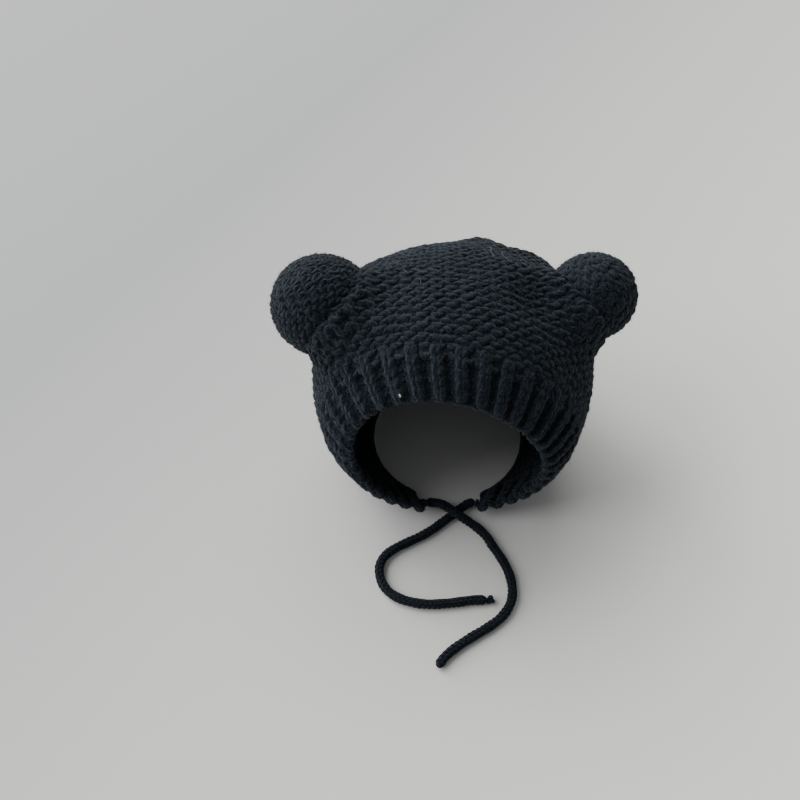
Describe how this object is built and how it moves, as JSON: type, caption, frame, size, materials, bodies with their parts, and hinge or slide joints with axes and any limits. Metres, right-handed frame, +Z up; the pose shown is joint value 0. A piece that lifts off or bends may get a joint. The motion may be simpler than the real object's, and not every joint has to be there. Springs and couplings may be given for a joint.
{
  "type": "earflap hat",
  "caption": "Knitted baby bonnet with round stuffed ears, a ribbed band round the face opening and knitted chin ties lying in front.",
  "frame": {"origin": "on the ground at the middle of the standing hat's box, the chin ties left out", "axes": "+Z up, the face opening looks along -Y, +X to the right as seen from the front"},
  "size_m": [0.1938, 0.2243, 0.1385],
  "materials": {
    "crown_yarn": "matte black chunky yarn, purl side out",
    "brim_yarn": "matte black chunky yarn in ribs",
    "ear_yarn": "matte black chunky yarn over stuffing",
    "tie_yarn": "matte black knitted cord"
  },
  "bodies": {
    "root": {"crown": "crown_yarn", "brim": "brim_yarn", "ear_left": "ear_yarn", "ear_right": "ear_yarn", "tie_left": "tie_yarn", "tie_right": "tie_yarn", "tie_right_knot": "tie_yarn"}
  },
  "joints": []
}
